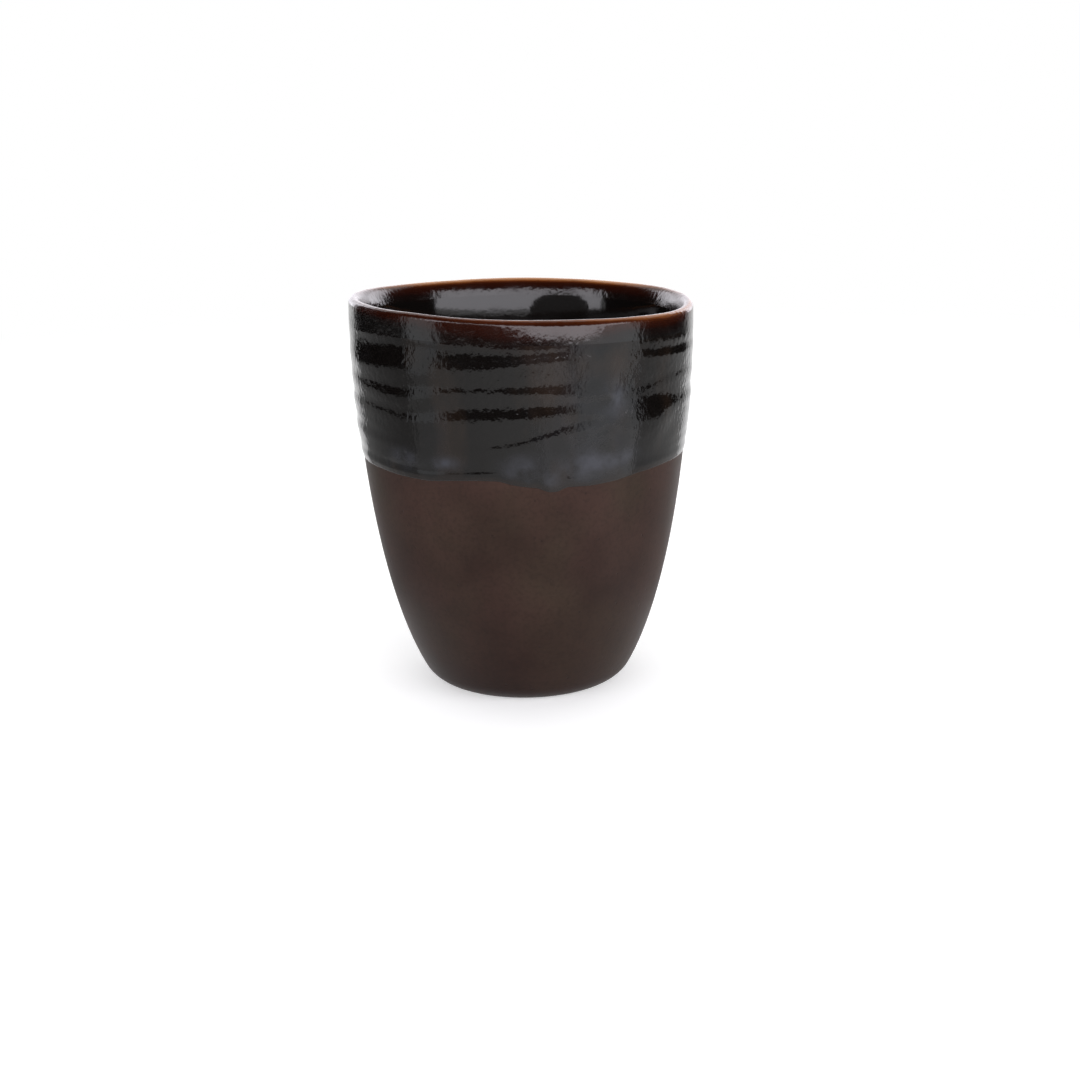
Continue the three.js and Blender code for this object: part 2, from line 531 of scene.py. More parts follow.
def dip_bead(angle, above_edge):
    depth = from_table(BEAD, angle, BEAD_SOFTENING) * MM
    swell = depth * np.exp(-(((above_edge - BEAD_HEIGHT) / BEAD_SIZE) ** 2))
    return swell * ease(above_edge, BEAD_START, BEAD_HEIGHT)


runs = dip_run(all_round, DIP_LINE) / MM
print(f"the edge of the dip runs {runs.min():.1f} to {runs.max():.1f} mm from the dip line")

# %% [markdown]
# ## Milky and brownish patches
# Where the glaze pooled thick above its edge it turned milky, and where it drew thin it is brownish.
# Noise alone would put the patches anywhere, so their places are written down and kept as attributes
# on the points of the mesh, which the material reads later.

# %% Patches of the glaze
# Each patch has its angle, its height above the edge in millimetres, and how far it reaches each way.
MILKY = [
    (-43, 4.4, 5, 2.0), (-26, 4.2, 5, 1.4), (-1, 4.0, 5, 2.4), (9, 3.0, 3, 1.2), (22, 4.8, 7, 2.0),
    (32, 5.0, 6, 1.7), (32, 18.8, 5, 3.6), (-128, 3.5, 5, 2.5), (112, 3.8, 5, 2.2), (160, 4.0, 12, 1.5),
]
BROWNISH = [(26, 26.5, 11, 5), (-96, 22, 18, 6), (150, 24, 24, 5)]


def patches(places, angle, above_edge):
    total = np.zeros_like(angle)
    for middle, level, width, tall in places:
        apart = (angle - middle + 180) % 360 - 180
        total += np.exp(-((apart / width) ** 2) - ((above_edge / MM - level) / tall) ** 2)
    return np.clip(total, 0, 1)


def keep(piece, name, values):
    layer = piece.data.attributes.new(name, "FLOAT", "POINT")
    layer.data.foreach_set("value", values)


print(len(MILKY), "milky and", len(BROWNISH), "brownish patches")

# %% [markdown]
# ## Throwing spiral and turning marks
# Inside, the fingers left a spiral that climbs from the middle of the floor up the wall. Underneath,
# the turning tool left fine rings in the recess. Both are even waves, so a sine of the distance
# along the surface makes them without any table.

# %% Spiral inside and turning marks underneath
SPIRAL_PITCH = 7 * MM
SPIRAL_DEPTH = 0.18 * MM
SPIRAL_MIDDLE = (1 * MM, 5 * MM)
SPIRAL_FADE = (45 * MM, 75 * MM)
INNER_DEPTH = 2 * MM
LEVEL_SLACK = 1 * MM
TURNING_PITCH = 1.8 * MM
TURNING_DEPTH = 0.06 * MM
TURNING_MIDDLE = (0.5 * MM, 2 * MM)
TURNING_FADE = (recess_edge - 1.5 * MM, recess_edge)


def throwing_spiral(angle, radius, height):
    climb = (radius + height - FLOOR_TOP) / SPIRAL_PITCH
    wave = SPIRAL_DEPTH * np.sin(2 * math.pi * (climb - angle / 360))
    inner = (radius < outside_radius(height) - INNER_DEPTH) & (height > FLOOR_TOP - LEVEL_SLACK)
    return inner * wave * ease(radius, *SPIRAL_MIDDLE) * (1 - ease(height, *SPIRAL_FADE))


def turning_marks(radius, height):
    under = (radius < recess_edge) & (height < UNDERSIDE_RECESS + LEVEL_SLACK)
    fade = ease(radius, *TURNING_MIDDLE) * (1 - ease(radius, *TURNING_FADE))
    return under * fade * TURNING_DEPTH * np.sin(2 * math.pi * radius / TURNING_PITCH)


print(f"the spiral climbs {SPIRAL_PITCH / MM:.0f} mm in a turn")

# %% [markdown]
# ## How deep in the colour break each point lies
# The glaze is amber where it drew thin over the crest and turns red-brown and then black below it, at
# a pace that changes round the mug. Height alone can't drive the colour, because the inside and the
# outside differ, so each point gets its own depth in the break as an attribute.

# %% Depth in the colour break
# The tables hold where the break starts, how fast it falls, and how much faster it falls lower down.
# Depths are in millimetres under the top of the glaze.
INSIDE_START = [(-140, 0.0), (-112, 0.5), (-90, 0.8), (90, 0.8), (112, 0.5), (140, 0.0)]
INSIDE_FADE = 0.9
INSIDE_PLUNGE = 1.1
INSIDE_PLUNGE_DEPTHS = (0.4, 2.0)
BREAK_START = [(-150, 0.5), (-60, 0.9), (-20, 0.6), (15, 0.5), (40, 0.2), (75, 0.2), (120, 0.4)]
BREAK_FADE = [
    (-150, 0.9), (-100, 1.6), (-60, 2.4), (-20, 1.3), (15, 1.1), (38, 0.7), (75, 0.7), (120, 0.9),
]
BREAK_PLUNGE = [(-120, 0.5), (-60, 1.0), (-25, 0.0), (18, 0.0), (38, 1.1), (75, 1.2), (120, 0.5)]
BREAK_PLUNGE_DEPTHS = (0.8, 3.0)
CREST_BLEND = (crest.x - 0.2 * MM, crest.x + 0.5 * MM)


def colour_depth(angle, radius, height):
    depth = (CLAY_TOP + GLAZE - height) / MM
    inside_pace = INSIDE_FADE + INSIDE_PLUNGE * ease(depth, *INSIDE_PLUNGE_DEPTHS)
    inside = from_table(INSIDE_START, angle) + depth * inside_pace
    plunge = from_table(BREAK_PLUNGE, angle) * ease(depth, *BREAK_PLUNGE_DEPTHS)
    outside = from_table(BREAK_START, angle) + depth * (from_table(BREAK_FADE, angle) + plunge)
    side = ease(radius, *CREST_BLEND)
    return inside + side * (outside - inside)


print(f"depth in the break at the front of the crest: {colour_depth(0, crest.x, CLAY_TOP):.2f}")

# %% [markdown]
# ## Shape the pieces
# The dipped coat is slid to its uneven edge first, and it is thinned there because the glaze ran thin
# over the wall. Then the same rules move all four pieces. Moving the points in code is chosen over
# modifiers because the clay and the coats on it get exactly the same movement.

# %% Shape the pieces by hand
EDGE_THINNESS = 0.35
THINNING_REACH = 8 * MM
RING_START = (DIP_LINE - 4 * MM, DIP_LINE + 1 * MM)


def run_the_dip(piece):
    angle, radius, height = read_points(piece)
    above_edge = height - DIP_LINE
    lift = radius - outside_radius(height)
    outer = lift > GLAZE / 4
    lift = lift * (EDGE_THINNESS + (1 - EDGE_THINNESS) * ease(above_edge, 0, THINNING_REACH))
    moved = height + dip_run(angle, height)
    swell = outer * dip_bead(angle, above_edge)
    write_points(piece, angle, outside_radius(moved) + lift + swell, moved)
    keep(piece, "above_edge", above_edge / MM)
    keep(piece, "milky", patches(MILKY, angle, above_edge))
    keep(piece, "brownish", patches(BROWNISH, angle, above_edge))


def shape_by_hand(piece):
    angle, radius, height = read_points(piece)
    outer = radius > outside_radius(height) - LIP_THICKNESS / 2
    ringed = outer * ease(height, *RING_START)
    spiral = throwing_spiral(angle, radius, height)
    upright_share = ease(height, FLOOR_TOP, inside_foot)
    outwards = ringed * ring_relief(angle, height) - lip_lean(angle, height) - spiral * upright_share
    upwards = spiral * (1 - upright_share) + turning_marks(radius, height) - rim_drop(angle, height)
    keep(piece, "below_crest", colour_depth(angle, radius, height))
    write_points(piece, angle, radius + outwards, height + upwards)
    print(f"{piece.name} moved by up to {np.hypot(outwards, upwards).max() / MM:.2f} mm")


run_the_dip(band_glaze)
for piece in pieces:
    shape_by_hand(piece)

# %% [markdown]
# ## Nodes with little typing
# Every material below is built from nodes. A helper that makes a node, fills its sockets and links
# whatever comes from another node keeps each material short enough to read in one piece. The kinds
# of node that come up again and again get a helper of their own.

# %% Helpers for nodes
def new_node(tree, kind, inputs, **settings):
    made = tree.nodes.new(kind)
    for name, value in settings.items():
        setattr(made, name, value)
    for socket, value in inputs.items():
        if isinstance(value, bpy.types.NodeSocket):
            tree.links.new(value, made.inputs[socket])
        else:
            made.inputs[socket].default_value = value
    return made


def maths(tree, operation, *values):
    return new_node(tree, "ShaderNodeMath", dict(enumerate(values)), operation=operation).outputs[0]


def spread(tree, value, low, high, start=0, end=1, curve="LINEAR"):
    sockets = {"Value": value, "From Min": low, "From Max": high, "To Min": start, "To Max": end}
    return new_node(tree, "ShaderNodeMapRange", sockets, interpolation_type=curve).outputs[0]


def mixed(tree, factor, first, second):
    mix = new_node(tree, "ShaderNodeMix", {"Factor": factor, "A": first, "B": second}, data_type="RGBA")
    return mix.outputs["Result"]


print("helpers for nodes:", new_node.__name__, maths.__name__, spread.__name__, mixed.__name__)

# %% Helpers for places and patterns
def object_place(tree):
    return new_node(tree, "ShaderNodeTexCoord", {}).outputs["Object"]


def height_on_mug(tree, place):
    return new_node(tree, "ShaderNodeSeparateXYZ", {0: place}).outputs["Z"]


def attribute(tree, name):
    return new_node(tree, "ShaderNodeAttribute", {}, attribute_name=name).outputs["Fac"]


def stretched(tree, place, scale):
    return new_node(tree, "ShaderNodeMapping", {"Vector": place, "Scale": scale}).outputs[0]


def noise(tree, place, scale, detail):
    sockets = {"Vector": place, "Scale": scale, "Detail": detail}
    return new_node(tree, "ShaderNodeTexNoise", sockets).outputs[0]


kept_layers = [layer.name for layer in band_glaze.data.attributes if layer.data_type == "FLOAT"]
print("attributes on the band:", kept_layers)

# %% [markdown]
# ## Glaze effects that several coats share
# The three coats are one kind of gloss glaze, so two effects are made once as node groups. The first
# is the ripple: melted glaze is never flat, and here it ran down in narrow columns that tear the edges
# of every reflection. The second is the colour break: where the glaze drew thin over the lip the iron
# in it shows amber, then red-brown, then black lower down, with a ragged edge.

# %% Glaze ripple group
# Depths are in millimetres, and the group turns them into metres for a Bump node.
RIPPLES_PER_M = 900.0
RIPPLE_DEPTH = 0.05
RIPPLE_DETAIL = 2
RIPPLE_RUN = (1, 1, 0.75)
PEEL_PER_M = 180
PEEL_DEPTH = 0.02
PEEL_DETAIL = 1


def new_group(name, inputs, outputs):
    group = bpy.data.node_groups.new(name, "ShaderNodeTree")
    for title, start in inputs.items():
        socket = group.interface.new_socket(title, in_out="INPUT", socket_type="NodeSocketFloat")
        socket.default_value = start
    for title, kind in outputs.items():
        group.interface.new_socket(title, in_out="OUTPUT", socket_type=kind)
    return group, group.nodes.new("NodeGroupInput").outputs


ripple_group, given = new_group(
    "glaze_ripple",
    {"Ripples per m": RIPPLES_PER_M, "Ripple depth": RIPPLE_DEPTH, "Peel depth": PEEL_DEPTH},
    {"Height": "NodeSocketFloat", "Variation": "NodeSocketFloat"},
)
place = object_place(ripple_group)
columns = stretched(ripple_group, place, RIPPLE_RUN)
ripples = noise(ripple_group, columns, given["Ripples per m"], RIPPLE_DETAIL)
peel = noise(ripple_group, place, PEEL_PER_M, PEEL_DETAIL)
depth = maths(ripple_group, "MULTIPLY", ripples, given["Ripple depth"])
depth = maths(ripple_group, "MULTIPLY_ADD", peel, given["Peel depth"], depth)
metres = maths(ripple_group, "MULTIPLY", depth, MM)
new_node(ripple_group, "NodeGroupOutput", {"Height": metres, "Variation": peel})
print("made", ripple_group.name, "with", len(ripple_group.nodes), "nodes")

# %% Amber break group
# Each colour has its place in the break, from 0 at the crest to 1 at the reach in millimetres.
BREAK_REACH = 10
RAGGEDNESS = 0.45
RAGS_PER_M = 110
RAG_DETAIL = 4
RAG_SHIFT = 0.05
BREAK_COLOURS = [
    (0.0, (0.54, 0.28, 0.13)),
    (0.035, (0.22, 0.074, 0.021)),
    (0.08, (0.048, 0.0105, 0.0027)),
    (0.16, (0.021, 0.0042, 0.0016)),
    (0.45, (0.0125, 0.0026, 0.0013)),
    (0.62, (0.0060, 0.0025, 0.0019)),
    (1.0, (0.0038, 0.0031, 0.0028)),
]

break_group, given = new_group("amber_break", {"Raggedness": RAGGEDNESS}, {"Color": "NodeSocketColor"})
ragged = noise(break_group, object_place(break_group), RAGS_PER_M, RAG_DETAIL)
swing = maths(break_group, "MULTIPLY", maths(break_group, "SUBTRACT", ragged, 0.5), given["Raggedness"])
share = maths(break_group, "DIVIDE", attribute(break_group, "below_crest"), BREAK_REACH)
share = maths(break_group, "MULTIPLY_ADD", share, swing, share)
share = maths(break_group, "MULTIPLY_ADD", swing, RAG_SHIFT, share)
ramp = new_node(break_group, "ShaderNodeValToRGB", {"Fac": share})
stops = ramp.color_ramp.elements
while len(stops) < len(BREAK_COLOURS):
    stops.new(0.5)
for stop, (position, colour) in zip(stops, BREAK_COLOURS):
    stop.position = position
    stop.color = (*colour, 1)
new_node(break_group, "NodeGroupOutput", {"Color": ramp.outputs["Color"]})
print("made", break_group.name, "with", len(stops), "colours")

# %% [markdown]
# ## The rim's amber glaze
# A glaze is a glassy skin over its own colour. A glass shader over a second surface could show that,
# but one Principled shader with a low roughness is enough, and an export can keep it. The rim takes
# its colour straight from the amber break.

# %% Start and finish a material
PEEL_SPREAD = (0.3, 0.7)


def new_material(name):
    material = bpy.data.materials.new(name)
    material.use_nodes = True
    tree = material.node_tree
    tree.nodes.clear()
    return material, tree


def finish_material(tree, colour, roughness, height, ior):
    bump = new_node(tree, "ShaderNodeBump", {"Height": height, "Strength": 1, "Distance": 1})
    sockets = {"Base Color": colour, "Roughness": roughness, "Normal": bump.outputs[0], "IOR": ior}
    shader = new_node(tree, "ShaderNodeBsdfPrincipled", sockets)
    new_node(tree, "ShaderNodeOutputMaterial", {"Surface": shader.outputs[0]})


def start_glaze(name):
    material, tree = new_material(name)
    colour = new_node(tree, "ShaderNodeGroup", {}, node_tree=break_group).outputs["Color"]
    return material, tree, colour


def finish_glaze(tree, colour, ripple, roughness, ior):
    skin = new_node(tree, "ShaderNodeGroup", {"Ripple depth": ripple}, node_tree=ripple_group).outputs
    rough = spread(tree, skin["Variation"], *PEEL_SPREAD, *roughness)
    finish_material(tree, colour, rough, skin["Height"], ior)


print("the peel spreads the roughness between", PEEL_SPREAD)

# %% Amber glaze
AMBER_RIPPLE = 0.10
AMBER_ROUGHNESS = (0.12, 0.20)
AMBER_IOR = 1.49

rim_material, tree, colour = start_glaze("amber_glaze")
finish_glaze(tree, colour, AMBER_RIPPLE, AMBER_ROUGHNESS, AMBER_IOR)
print("made", rim_material.name)

# %% [markdown]
# ## The liner's brown glaze
# The poured glaze pooled on the floor of the mug, where it is brown again. A second material on the
# floor would end in a line, so the brown comes in slowly with the depth inside the mug.

# %% Brown glaze
BROWN_RIPPLE = 0.015
BROWN_ROUGHNESS = (0.06, 0.10)
BROWN_IOR = 1.45
POOL_HEIGHTS = (66 * MM, 20 * MM)
POOL_BROWN = (0.055, 0.023, 0.012, 1)

liner_material, tree, colour = start_glaze("brown_glaze")
pool = spread(tree, height_on_mug(tree, object_place(tree)), *POOL_HEIGHTS)
pooled = mixed(tree, pool, colour, POOL_BROWN)
finish_glaze(tree, pooled, BROWN_RIPPLE, BROWN_ROUGHNESS, BROWN_IOR)
print("made", liner_material.name)

# %% [markdown]
# ## The black glaze
# The dipped glaze is black with brown clouds where it is thin, a milky veil where it is thick, and a
# dull brown line along its edge. Painting these would need an image, so noise that is drawn out
# downwards, as the glaze ran, breaks up the patches kept on the mesh. The ripple calms near the edge.

# %% Brown clouds in the black glaze
CLOUD_RUN = (1, 1, 0.45)
CLOUDS_PER_M = 75
CLOUD_DETAIL = 4
BROWNISH_PULL = 0.22
THIN_SPREAD = (0.49, 0.76)
THIN_BROWN = (0.0205, 0.0122, 0.0078, 1)

band_material, tree, colour = start_glaze("black_glaze")
place = object_place(tree)
runny = stretched(tree, place, CLOUD_RUN)
cloud = noise(tree, runny, CLOUDS_PER_M, CLOUD_DETAIL)
thin = maths(tree, "MULTIPLY_ADD", attribute(tree, "brownish"), BROWNISH_PULL, cloud)
clouded = mixed(tree, spread(tree, thin, *THIN_SPREAD), colour, THIN_BROWN)
print("brown clouds start at", THIN_SPREAD[0], "of the noise")

# %% Milky veil, edge and skin of the black glaze
FLECKS_PER_M = 210
FLECK_DETAIL = 4
FLECK_SPREAD = (0.30, 0.66)
VEILS_PER_M = 34
VEIL_DETAIL = 3
VEIL_SPREAD = (0.50, 0.72)
VEIL_SHARE = 0.28
MILK = (0.034, 0.035, 0.043, 1)
EDGE_FLECK = 1.2
EDGE_SPREAD = (2.1, 1.1)
EDGE_BROWN = (0.010, 0.0066, 0.0056, 1)
CALM_HEIGHTS = (5, 12)
BLACK_RIPPLE = (0.05, 0.125)
BLACK_ROUGHNESS = (0.08, 0.14)
BLACK_IOR = 1.385

fleck = noise(tree, place, FLECKS_PER_M, FLECK_DETAIL)
veil = spread(tree, noise(tree, runny, VEILS_PER_M, VEIL_DETAIL), *VEIL_SPREAD)
thick = maths(tree, "MULTIPLY_ADD", veil, VEIL_SHARE, attribute(tree, "milky"))
milk = maths(tree, "MULTIPLY", thick, spread(tree, fleck, *FLECK_SPREAD))
veiled = mixed(tree, milk, clouded, MILK)
above_edge = attribute(tree, "above_edge")
edge = maths(tree, "MULTIPLY_ADD", fleck, EDGE_FLECK, above_edge)
edged = mixed(tree, spread(tree, edge, *EDGE_SPREAD), veiled, EDGE_BROWN)
ripple = spread(tree, above_edge, *CALM_HEIGHTS, *BLACK_RIPPLE)
finish_glaze(tree, edged, ripple, BLACK_ROUGHNESS, BLACK_IOR)
print("made", band_material.name, "with", len(tree.nodes), "nodes")

# %% [markdown]
# ## The bare stoneware
# The lower half is bare clay with olive patches, dark grit, small pits and the fine lines of the turning
# tool. It is dark at the foot and warmer towards the glaze, and that change with height is painted
# shade. One noise can't hold marks of such different sizes, so each has its own, and together they
# make the colour, the roughness and the bump.

# %% Colour of the stoneware, with painted shade at the foot
CLAY_DARK_AND_FOOT_SHADE = (0.0158, 0.0070, 0.0050, 1)
CLAY_WARM = (0.0450, 0.0234, 0.0178, 1)
CLAY_OLIVE = (0.0380, 0.0238, 0.0160, 1)
MOTTLES_PER_M = 55
MOTTLE_DETAIL = 5
FOOT_SHADE_LIFT_PER_M = 8.0
MOTTLE_AND_FOOT_SHADE_SPREAD = (0.42, 1.05)
OLIVES_PER_M = 42
OLIVE_DETAIL = 3
OLIVE_SPREAD = (0.42, 0.62)

stoneware, tree = new_material("bare_stoneware")
place = object_place(tree)
mottle = noise(tree, place, MOTTLES_PER_M, MOTTLE_DETAIL)
# Painted shade: the height term darkens the clay towards the foot, while the mottle is the clay's own tone.
mottle_and_foot_shade = maths(tree, "MULTIPLY_ADD", height_on_mug(tree, place), FOOT_SHADE_LIFT_PER_M, mottle)
olive = spread(tree, noise(tree, place, OLIVES_PER_M, OLIVE_DETAIL), *OLIVE_SPREAD)
warm = mixed(tree, olive, CLAY_WARM, CLAY_OLIVE)
clay_colour = mixed(tree, spread(tree, mottle_and_foot_shade, *MOTTLE_AND_FOOT_SHADE_SPREAD), CLAY_DARK_AND_FOOT_SHADE, warm)
print("the clay warms from", CLAY_DARK_AND_FOOT_SHADE[:3], "to", CLAY_WARM[:3])

# %% Grit and pits of the stoneware
SPECK = (0.008, 0.005, 0.0045, 1)
GRIT_PER_M = 1100
GRIT_DETAIL = 3
GRIT_SPREAD = (0.45, 0.7)
GRIT_SHARE = 0.24
PITS_PER_M = 260
PIT_SPREAD = (0.10, 0.04)
PIT_SHARE = 0.35

grit = spread(tree, noise(tree, place, GRIT_PER_M, GRIT_DETAIL), *GRIT_SPREAD)
gritty = mixed(tree, maths(tree, "MULTIPLY", grit, GRIT_SHARE), clay_colour, SPECK)
pit_cells = new_node(tree, "ShaderNodeTexVoronoi", {"Vector": place, "Scale": PITS_PER_M})
pit = spread(tree, pit_cells.outputs["Distance"], *PIT_SPREAD, curve="SMOOTHSTEP")
speckled = mixed(tree, maths(tree, "MULTIPLY", pit, PIT_SHARE), gritty, SPECK)
print("pits lie about", round(1 / (PITS_PER_M * MM), 1), "mm apart")

# %% Bump and shine of the stoneware
GRAINS_PER_M = 2200
GRAIN_DETAIL = 2
GRAIN_DEPTH = 0.012 * MM
SCRAPE_RUN = (0.02, 0.02, 1)
SCRAPES_PER_M = 900
SCRAPE_DETAIL = 3
SCRAPE_DEPTH = 0.02 * MM
PIT_DEPTH = 0.03 * MM
CLAY_ROUGHNESS = (0.38, 0.56)
CLAY_IOR = 1.22

grain = noise(tree, place, GRAINS_PER_M, GRAIN_DETAIL)
scrape = noise(tree, stretched(tree, place, SCRAPE_RUN), SCRAPES_PER_M, SCRAPE_DETAIL)
relief = maths(tree, "MULTIPLY", grain, GRAIN_DEPTH)
relief = maths(tree, "MULTIPLY_ADD", scrape, SCRAPE_DEPTH, relief)
relief = maths(tree, "MULTIPLY_ADD", pit, -PIT_DEPTH, relief)
rough = spread(tree, mottle, 0, 1, *CLAY_ROUGHNESS)
finish_material(tree, speckled, rough, relief, CLAY_IOR)
print("made", stoneware.name, "with", len(tree.nodes), "nodes")

# %% [markdown]
# ## Dress the pieces
# Each fine piece takes its material, rides on the mug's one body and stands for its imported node. Each
# piece could be dressed where it is made, but one table shows at a glance which finish goes where.

# %% Materials, bodies and slots
DRESSING = [
    (clay_body, "clay_body", "bare_stoneware", stoneware),
    (liner_glaze, "liner_glaze", "brown_glaze", liner_material),
    (rim_glaze, "rim_glaze", "amber_glaze", rim_material),
    (band_glaze, "band_glaze", "black_glaze", band_material),
]
for piece, node, slot, material in DRESSING:
    piece.data.materials.append(material)
    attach(piece, "root")
    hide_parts(node)
    print(piece.name, "stands for", node)

# %% [markdown]
# ## The floor
# The mug stands on pale paper that sweeps away into white. A bent backdrop could do that, but a flat
# floor is simpler: near the mug it is paper that takes the shadow, with a glow of its own, and further
# out it fades to plain white. The glow and the fade are seen and mirrored, and they light nothing.

# %% Floor material
PAPER = (0.82, 0.82, 0.82, 1)
PLAIN_WHITE = (1, 1, 1, 1)
FLOOR_LIFT = 0.42
FLOOR_FADE = (0.25, 0.65)


def seen_directly(tree):
    path = new_node(tree, "ShaderNodeLightPath", {}).outputs
    seen = maths(tree, "MAXIMUM", path["Is Camera Ray"], path["Is Glossy Ray"])
    return maths(tree, "MAXIMUM", seen, path["Is Transmission Ray"])


floor_material, tree = new_material("pale_floor")
seen = seen_directly(tree)
paper = new_node(tree, "ShaderNodeBsdfDiffuse", {"Color": PAPER})
lift = maths(tree, "MULTIPLY", seen, FLOOR_LIFT)
glow = new_node(tree, "ShaderNodeEmission", {"Color": PLAIN_WHITE, "Strength": lift})
near = new_node(tree, "ShaderNodeAddShader", {0: paper.outputs[0], 1: glow.outputs[0]})
white = new_node(tree, "ShaderNodeEmission", {"Color": PLAIN_WHITE, "Strength": 1})
reach = new_node(tree, "ShaderNodeVectorMath", {0: object_place(tree)}, operation="LENGTH").outputs["Value"]
away = maths(tree, "MULTIPLY", spread(tree, reach, *FLOOR_FADE, curve="SMOOTHSTEP"), seen)
sweep = new_node(tree, "ShaderNodeMixShader", {0: away, 1: near.outputs[0], 2: white.outputs[0]})
new_node(tree, "ShaderNodeOutputMaterial", {"Surface": sweep.outputs[0]})
print("made", floor_material.name)

# %% Floor
FLOOR_RADIUS = 6
FLOOR_GAP = 0.05 * MM
FLOOR_SEGMENTS = 96

work = bmesh.new()
bmesh.ops.create_circle(work, cap_ends=True, segments=FLOOR_SEGMENTS, radius=FLOOR_RADIUS)
bmesh.ops.translate(work, verts=work.verts, vec=-FLOOR_GAP * UP)
floor = finished(work, "floor")
floor.data.materials.append(floor_material)
print("floor", 2 * FLOOR_RADIUS, "m across")

# %% [markdown]
# ## The air
# Behind the mug is nothing but white. A white world would also flood the mug with light, so the world
# is white only where it is seen or mirrored, and lights the mug as a dim grey.

# %% World
FILL = 0.24

world = bpy.data.worlds.new("studio_air")
world.use_nodes = True
bpy.context.scene.world = world
tree = world.node_tree
tree.nodes.clear()
strength = maths(tree, "MULTIPLY_ADD", seen_directly(tree), 1 - FILL, FILL)
air = new_node(tree, "ShaderNodeBackground", {"Color": PLAIN_WHITE, "Strength": strength})
new_node(tree, "ShaderNodeOutputWorld", {"Surface": air.outputs[0]})
print("the air lights the mug at", FILL)

# %% [markdown]
# ## Lights and cards
# A gloss glaze shows the room more than itself, so the room matters as much as the glaze. Area lamps
# could light the mug, but their reflections are hard to shape. Here each light and card is a stretch
# of wall or floor round the mug, made by the same spin as the mug. The lights shine and are mirrored.
# The fills shine but aren't mirrored, and the cards are mirrored but don't shine on anything.

# %% A wall of the studio
WALL_STEPS = 24
WHITE = (1, 1, 1)
BLACK = (0, 0, 0)
LAVENDER = (0.96, 0.94, 1.0)
COOL = (0.94, 0.97, 1.0)


def put_up(work, name, colour, strength):
    wall = finished(work, name)
    material, tree = new_material(name)
    glow = new_node(tree, "ShaderNodeEmission", {"Color": (*colour, 1), "Strength": strength})
    new_node(tree, "ShaderNodeOutputMaterial", {"Surface": glow.outputs[0]})
    wall.data.materials.append(material)
    wall.visible_camera = False
    wall.visible_shadow = False
    if name.endswith("fill"):
        wall.visible_glossy = False
    if name.endswith("card"):
        wall.visible_diffuse = False
        wall.visible_transmission = False


def studio_wall(name, first, last, section, colour, strength):
    start = Matrix.Rotation(math.radians(first - 90), 3, "Z")
    line = [start @ at(radius, height) for radius, height in section]
    put_up(turned(line, math.radians(last - first), WALL_STEPS), name, colour, strength)


def upright(radius, bottom, top):
    return [(radius, bottom), (radius, top)]


print("a wall of the studio has", WALL_STEPS, "steps")

# %% [markdown]
# ## Large lights and what stands behind
# One large soft light in front, above the mug, gives the band and the collar their long pale shine.
# The fills lift the clay, the back and the inside. The pale cards behind are what the far lip and the
# two ends of the rim mirror. One light could do both, but then the rim and the back couldn't be set
# apart from each other.

# %% Front light, fills and back cards
# Each row has its name, its first and last angle, its section in metres, its colour and its strength.
BEHIND = upright(1.2, 0.0, 0.7)
LARGE_WALLS = [
    ("front_light", -65, 73, upright(1.3, 0.28, 0.78), LAVENDER, 4.0),
    ("back_fill", 126, 234, BEHIND, WHITE, 3.0),
    ("right_fill", 10, 72, upright(1.2, 0.2, 0.8), WHITE, 2.0),
    ("top_fill", -180, 180, [(0.02, 1.2), (0.4, 1.2)], WHITE, 2.5),
    ("right_back_card", 126, 152, BEHIND, LAVENDER, 3.6),
    ("back_card", 152, 208, BEHIND, LAVENDER, 2.0),
    ("left_back_card", 208, 234, BEHIND, LAVENDER, 3.6),
]
for row in LARGE_WALLS:
    studio_wall(*row)
print(len(LARGE_WALLS), "large walls put up")

# %% [markdown]
# ## Low lights at the sides
# Two low lights draw the cool upright strips at the sides of the band. The right strip fades towards
# the front. A colour ramp on the light could do that, but four narrow lights that grow weaker towards
# the front need no new kind of material.

# %% Side lights
LEFT_LIGHT = upright(0.30, 0.0, 0.11)
RIGHT_LIGHT = upright(0.22, 0.0, 0.10)
EDGE_COUNT = 4
EDGE_FIRST = 28
EDGE_WIDTH = 2
EDGE_DIMMEST = 0.5
EDGE_RISE = 0.25

studio_wall("left_light", -74, -53, LEFT_LIGHT, COOL, 1.1)
studio_wall("right_light", 36, 76, RIGHT_LIGHT, COOL, 1.4)
for step in range(EDGE_COUNT):
    first = EDGE_FIRST + EDGE_WIDTH * step
    strength = EDGE_DIMMEST + EDGE_RISE * step
    studio_wall(f"right_light_edge_{step}", first, first + EDGE_WIDTH, RIGHT_LIGHT, COOL, strength)
print("right strip fades from", EDGE_FIRST + EDGE_COUNT * EDGE_WIDTH, "to", EDGE_FIRST, "degrees")

# %% [markdown]
# ## Dark and grey cards
# The slopes of the finger rings that look up mirror the dark front and side cards, which gives the
# dashes. They could be painted on the glaze, but painted dashes wouldn't move with the light. The wall
# between them looks a little down, so grey cards just above the floor set how bright the gaps are from
# left to right. The ceiling card keeps what lies above the front light dark.

# %% Cards round the mug
# The sides have their name, their first and last angle, and the greys of their near and far cards.
CARD_LIFT = 0.001
NEAR_FLOOR = [(0.06, CARD_LIFT), (0.16, CARD_LIFT)]
FAR_FLOOR = [(0.16, CARD_LIFT), (0.22, CARD_LIFT), (0.22, 0.05)]
SIDE_WALL = upright(0.22, 0.05, 0.22)
SIDES = [("left", -135, -72, 0.55, 0.35), ("right", 76, 135, 0.65, 0.6)]
FLOOR_STRIP = [(0.06, CARD_LIFT), (0.49, CARD_LIFT)]
STRIP_COUNT = 7
STRIP_FIRST = -72
STRIP_WIDTH = 12
STRIP_DIMMEST = 0.70
STRIP_RISE = 0.06

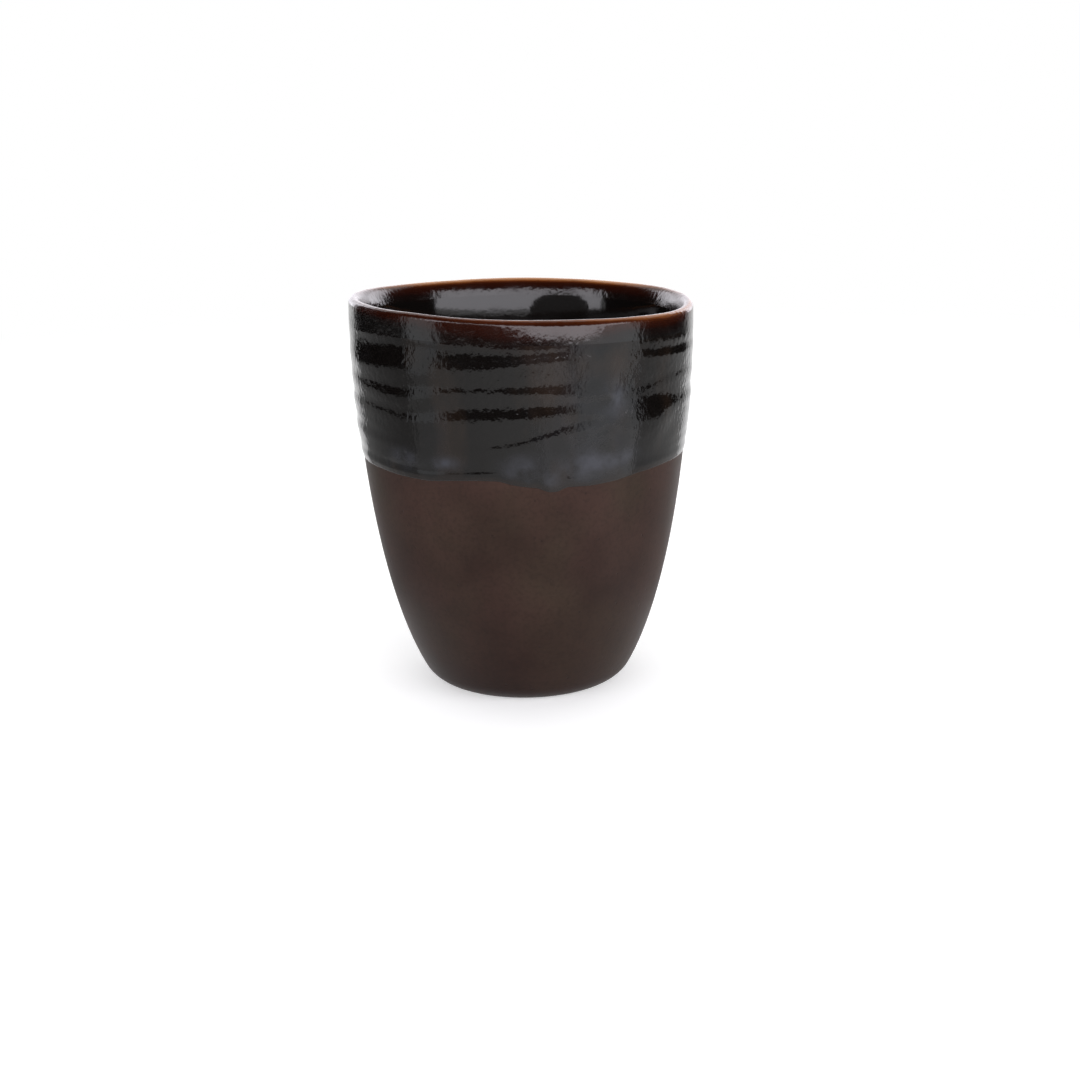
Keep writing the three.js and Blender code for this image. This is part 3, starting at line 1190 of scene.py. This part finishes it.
studio_wall("front_card", -54, 31, upright(0.50, 0.0, 0.145), BLACK, 0)
studio_wall("ceiling_card", -120, 120, [(1.35, 0.79), (1.1, 1.3), (0.05, 1.6)], BLACK, 0)
for side, first, last, near_grey, far_grey in SIDES:
    studio_wall(f"{side}_card", first, last, SIDE_WALL, BLACK, 0)
    studio_wall(f"{side}_near_card", first, last, NEAR_FLOOR, WHITE, near_grey)
    studio_wall(f"{side}_far_card", first, last, FAR_FLOOR, WHITE, far_grey)
for step in range(STRIP_COUNT):
    first = STRIP_FIRST + STRIP_WIDTH * step
    strength = STRIP_DIMMEST + STRIP_RISE * step
    studio_wall(f"floor_{step}_card", first, first + STRIP_WIDTH, FLOOR_STRIP, WHITE, strength)
print(f"floor strips go from {STRIP_DIMMEST:.2f} to {strength:.2f}")

# %% [markdown]
# ## The round card
# The inside of the far wall mirrors the front light with a dark rounded hump in it. A wall made by the
# spin has straight ends, so this card starts as a circle, is stretched and stood up, and is turned to
# its place.

# %% Round card
ROUND_RADIUS = 0.20
ROUND_SEGMENTS = 48
ROUND_STRETCH = (1.35, 1, 1)
ROUND_PLACE = (0, -0.55, 0.11)
ROUND_SIDE = Matrix.Rotation(math.radians(-31), 3, "Z")
ROUND_GREY = 0.16
STOOD_UP = Matrix.Rotation(math.radians(90), 3, "X")

work = bmesh.new()
bmesh.ops.create_circle(work, cap_ends=True, segments=ROUND_SEGMENTS, radius=ROUND_RADIUS)
bmesh.ops.scale(work, verts=work.verts, vec=ROUND_STRETCH)
bmesh.ops.rotate(work, verts=work.verts, cent=(0, 0, 0), matrix=STOOD_UP)
bmesh.ops.translate(work, verts=work.verts, vec=ROUND_PLACE)
bmesh.ops.rotate(work, verts=work.verts, cent=(0, 0, 0), matrix=ROUND_SIDE)
put_up(work, "round_card", WHITE, ROUND_GREY)
print("round card", 2 * ROUND_RADIUS * ROUND_STRETCH[0], "m wide")

# %% [markdown]
# ## The camera
# The camera stands where the photograph was taken from, a little above the rim and close enough for
# the foot to look narrower than it is. It could be aimed at a target, but its drop and its small roll
# come from a fit of the mug's outline, so they are set as two turns.

# %% Camera
CAMERA_PLACE = (3.55 * MM, -420 * MM, 148.65 * MM)
CAMERA_DROP = 0.2673
CAMERA_ROLL = math.radians(-1.0)
SENSOR_WIDTH = 36
FOCAL_LENGTH = 59.05

lens = bpy.data.cameras.new("camera")
lens.sensor_width = SENSOR_WIDTH
lens.lens = FOCAL_LENGTH
camera = bpy.data.objects.new("camera", lens)
bpy.context.scene.collection.objects.link(camera)
aim = Matrix.Rotation(math.pi / 2 - CAMERA_DROP, 4, "X") @ Matrix.Rotation(CAMERA_ROLL, 4, "Z")
camera.matrix_world = Matrix.Translation(CAMERA_PLACE) @ aim
bpy.context.scene.camera = camera
bpy.context.scene.view_settings.view_transform = "Standard"
print(f"the camera looks down by {math.degrees(CAMERA_DROP):.1f} degrees")
